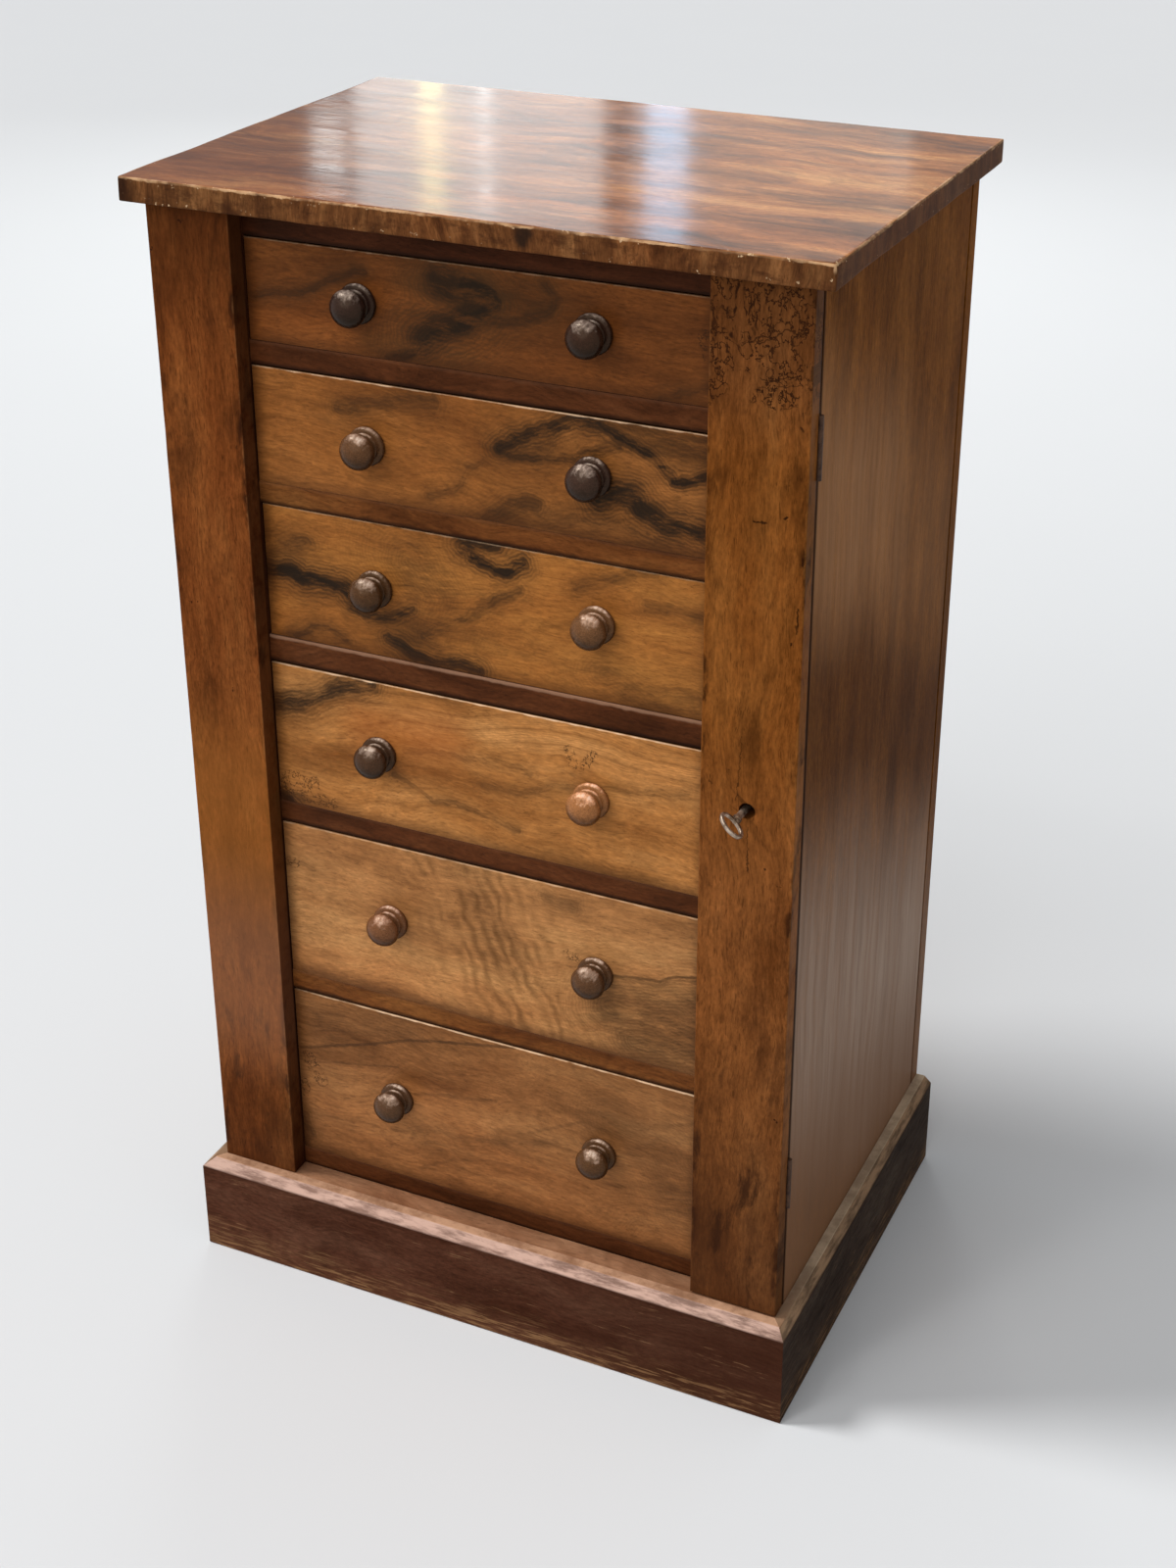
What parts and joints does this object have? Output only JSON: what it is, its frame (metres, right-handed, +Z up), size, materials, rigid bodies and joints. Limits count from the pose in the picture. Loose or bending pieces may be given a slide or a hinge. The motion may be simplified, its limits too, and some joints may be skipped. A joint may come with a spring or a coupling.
{
  "type": "wellington chest",
  "caption": "Tall narrow wooden chest of graduated drawers between pilasters, the right-hand pilaster hinged and lockable, with turned knobs, an overhanging top and a plinth.",
  "frame": {"origin": "bottom centre of the bounding box, on the floor, key included", "axes": "+Z up, the drawers face -Y and open along -Y, +X to the right of someone facing the front"},
  "size_m": [0.616, 0.451, 1.0767],
  "materials": {
    "walnut_top": "french polished, figured walnut veneer",
    "walnut_veneer": "polished figured walnut veneer",
    "walnut_pilaster": "polished straight-grained walnut",
    "walnut_side": "plain faded walnut",
    "walnut_rail": "polished walnut",
    "mahogany": "polished dark mahogany",
    "mahogany_plinth": "worn dark mahogany",
    "drawer_lining": "unpolished",
    "pine": "unpolished, aged",
    "dark_stained_wood": "turned, stained and polished",
    "iron": "dark, lightly rusted",
    "key_steel": "worn steel",
    "brass": "dull"
  },
  "bodies": {
    "carcase": {"top_board": "walnut_top", "side_left": "walnut_side", "side_right": "walnut_side", "pilaster_left": "walnut_pilaster", "post_left": "mahogany", "post_right": "mahogany", "top_rail_front": "mahogany", "bottom_rail": "mahogany", "plinth_front": "mahogany_plinth", "plinth_left": "mahogany_plinth", "plinth_right": "mahogany_plinth", "bottom_board": "pine", "top_rail_back": "pine", "drawer_runners": "pine", "drawer_guides": "pine", "drawer_stops": "pine", "back_frame": "pine", "back_panels": "pine", "plinth_framing": "pine", "glue_blocks": "pine", "hinge_leaves_fixed": "iron", "hinge_pins": "iron", "carcase_screws": "iron", "strike_plate": "iron", "drawer_rail_1": "mahogany", "drawer_rail_2": "walnut_rail", "drawer_rail_3": "mahogany", "drawer_rail_4": "mahogany", "drawer_rail_5": "walnut_rail"},
    "drawer_1": {"drawer_1_front": "walnut_veneer", "drawer_1_box": "drawer_lining", "drawer_1_bottom": "drawer_lining", "drawer_1_knobs": "dark_stained_wood"},
    "drawer_2": {"drawer_2_front": "walnut_veneer", "drawer_2_box": "drawer_lining", "drawer_2_bottom": "drawer_lining", "drawer_2_knobs": "dark_stained_wood"},
    "drawer_3": {"drawer_3_front": "walnut_veneer", "drawer_3_box": "drawer_lining", "drawer_3_bottom": "drawer_lining", "drawer_3_knobs": "dark_stained_wood"},
    "drawer_4": {"drawer_4_front": "walnut_veneer", "drawer_4_box": "drawer_lining", "drawer_4_bottom": "drawer_lining", "drawer_4_knobs": "dark_stained_wood"},
    "drawer_5": {"drawer_5_front": "walnut_veneer", "drawer_5_box": "drawer_lining", "drawer_5_bottom": "drawer_lining", "drawer_5_knobs": "dark_stained_wood"},
    "drawer_6": {"drawer_6_front": "walnut_veneer", "drawer_6_box": "drawer_lining", "drawer_6_bottom": "drawer_lining", "drawer_6_knobs": "dark_stained_wood"},
    "pilaster": {"pilaster_right": "walnut_pilaster", "hinge_leaves_moving": "iron", "lock_plate": "iron", "lock_case": "iron", "pilaster_screws": "iron"},
    "lock_bolt": {"lock_bolt": "brass"},
    "key": {"key": "key_steel"}
  },
  "joints": [
    {"name": "drawer_1_slide", "type": "slide", "parent": "carcase", "child": "drawer_1", "axis": [0, -1, 0], "range_m": [0, 0.28]},
    {"name": "drawer_2_slide", "type": "slide", "parent": "carcase", "child": "drawer_2", "axis": [0, -1, 0], "range_m": [0, 0.28]},
    {"name": "drawer_3_slide", "type": "slide", "parent": "carcase", "child": "drawer_3", "axis": [0, -1, 0], "range_m": [0, 0.28]},
    {"name": "drawer_4_slide", "type": "slide", "parent": "carcase", "child": "drawer_4", "axis": [0, -1, 0], "range_m": [0, 0.28]},
    {"name": "drawer_5_slide", "type": "slide", "parent": "carcase", "child": "drawer_5", "axis": [0, -1, 0], "range_m": [0, 0.28]},
    {"name": "drawer_6_slide", "type": "slide", "parent": "carcase", "child": "drawer_6", "axis": [0, -1, 0], "range_m": [0, 0.28]},
    {"name": "pilaster_hinge", "type": "hinge", "parent": "carcase", "child": "pilaster", "pos_m": [0.2906, -0.17225, 0.9256], "axis": [0, 0, 1], "range_deg": [0, 180]},
    {"name": "key_turn", "type": "hinge", "parent": "pilaster", "child": "key", "pos_m": [0.245, -0.1915, 0.612], "axis": [0, 1, 0], "range_deg": [0, 90]},
    {"name": "bolt_slide", "type": "slide", "parent": "pilaster", "child": "lock_bolt", "axis": [-1, 0, 0], "range_m": [0, 0.007]}
  ],
  "couplings": [
    {"joint": "key_turn", "follows": "bolt_slide", "rad_per_m": 224.4}
  ]
}
